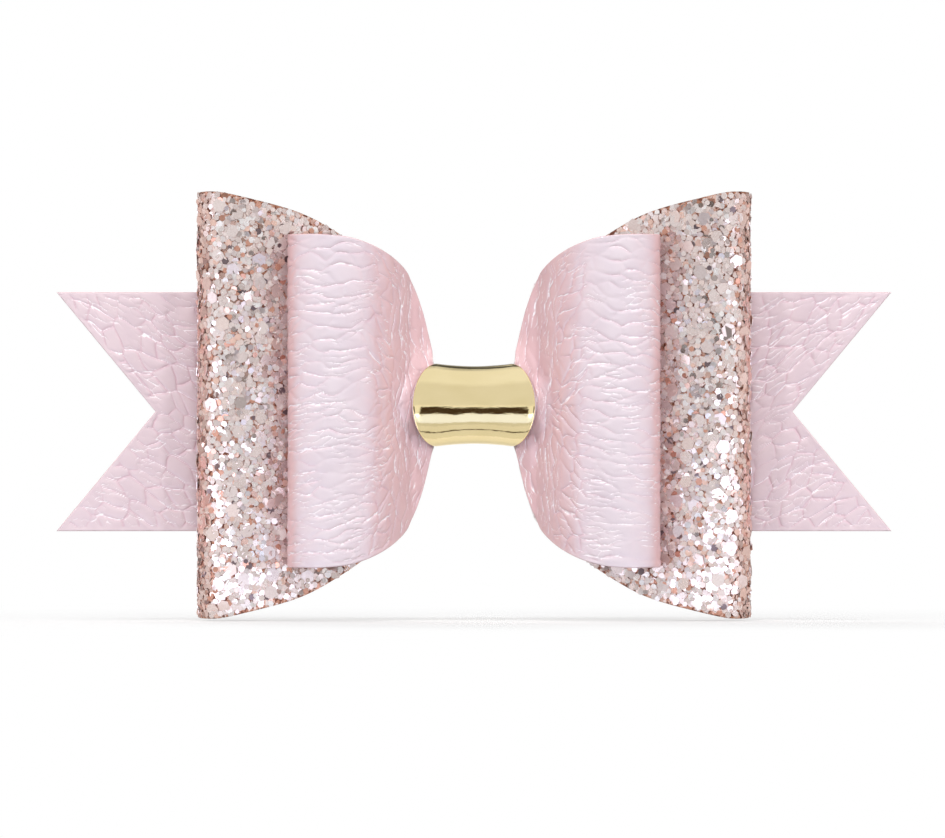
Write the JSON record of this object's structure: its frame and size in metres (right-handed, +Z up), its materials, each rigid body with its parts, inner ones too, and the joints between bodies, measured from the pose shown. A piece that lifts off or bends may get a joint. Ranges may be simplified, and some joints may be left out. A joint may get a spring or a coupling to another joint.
{
  "type": "hair bow",
  "caption": "Layered hair bow: folded pebbled loops over larger glitter loops and forked tails, cinched by a gold foil wrap, on a sprung alligator clip.",
  "frame": {"origin": "where hair is gripped: the closed plane between the clip's jaws, behind the centre of the wrap", "axes": "+X along the tails towards the clip's thumb tabs, +Y backwards into the hair (the face looks along -Y), +Z up"},
  "size_m": [0.1016, 0.0255, 0.052],
  "materials": {
    "leather": "pearly pale pink leatherette with a pebble grain",
    "glitter": "chunky rose and champagne hexagonal flakes on a backing sheet",
    "foil": "mirror gold foil on a thin sheet",
    "steel": "nickel-plated pressed steel",
    "spring_steel": "drawn spring wire",
    "ribbon": "ribbed grosgrain",
    "glue": "clear-white hot-melt glue"
  },
  "bodies": {
    "bow": {"tails": "leather", "rear_loops": "glitter", "front_loops": "leather", "centre_wrap": "foil", "glue_front_tabs": "glue", "glue_loops": "glue", "glue_rear_tabs": "glue", "glue_tails": "glue", "glue_clip": "glue", "glue_wrap": "glue", "clip_upper_jaw": "steel", "clip_pin": "steel", "clip_spring": "spring_steel", "clip_lining": "ribbon"},
    "lower_jaw": {"clip_lower_jaw": "steel"}
  },
  "joints": [
    {"name": "jaw", "type": "hinge", "parent": "bow", "child": "lower_jaw", "pos_m": [0.015, 0.0017, 0], "axis": [0, 0, -1], "range_deg": [0, 32], "stiffness_Nm_per_rad": 0.143, "springref_deg": -20.05, "deforming": ["clip_spring"]}
  ]
}
